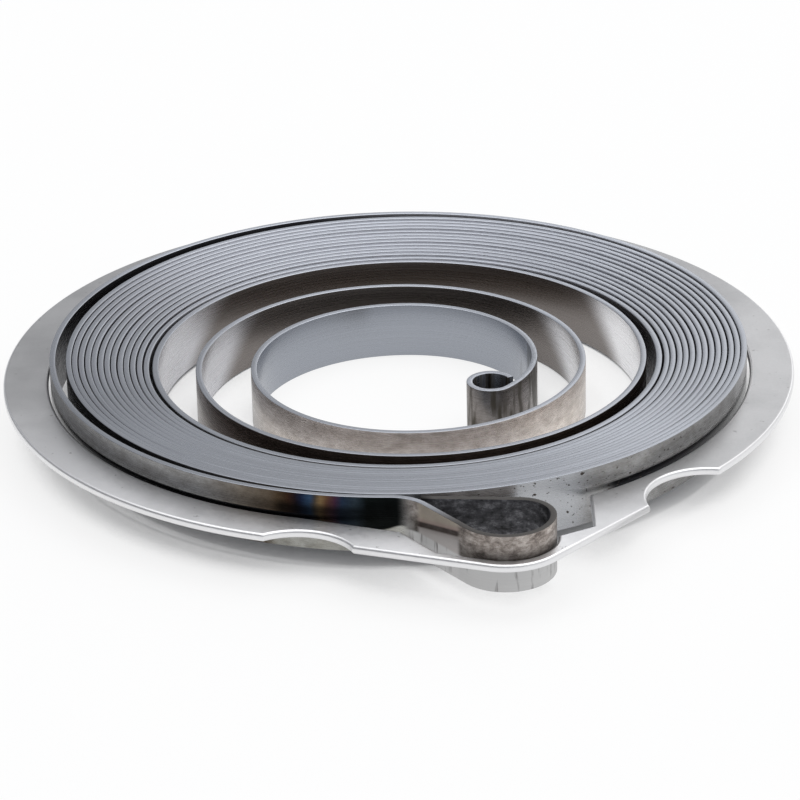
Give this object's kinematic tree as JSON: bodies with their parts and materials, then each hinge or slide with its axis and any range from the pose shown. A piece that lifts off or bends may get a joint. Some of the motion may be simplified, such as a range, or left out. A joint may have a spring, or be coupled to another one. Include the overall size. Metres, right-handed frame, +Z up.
{
  "type": "recoil starter spring",
  "caption": "Flat spiral spring of steel strip with an inner eye and an outer hook loop, held in a stamped retainer plate that locates it in a recoil starter housing.",
  "frame": {"origin": "on the axis of the plate's opening, in the plane that the innermost turn of the spring rests on", "axes": "+Z up along the winding axis, towards the face that the picture shows; +Y to the back, away from the outer loop; +X to the right of the picture"},
  "size_m": [0.0992, 0.1057, 0.0095],
  "materials": {
    "spring_steel": "blue-grey satin strip, oiled, with brown temper tint and grime at the outer loop",
    "plate_steel": "light satin sheet steel with rolled stamped edges"
  },
  "bodies": {
    "root": {"spring": "spring_steel", "retainer_plate": "plate_steel"}
  },
  "joints": []
}
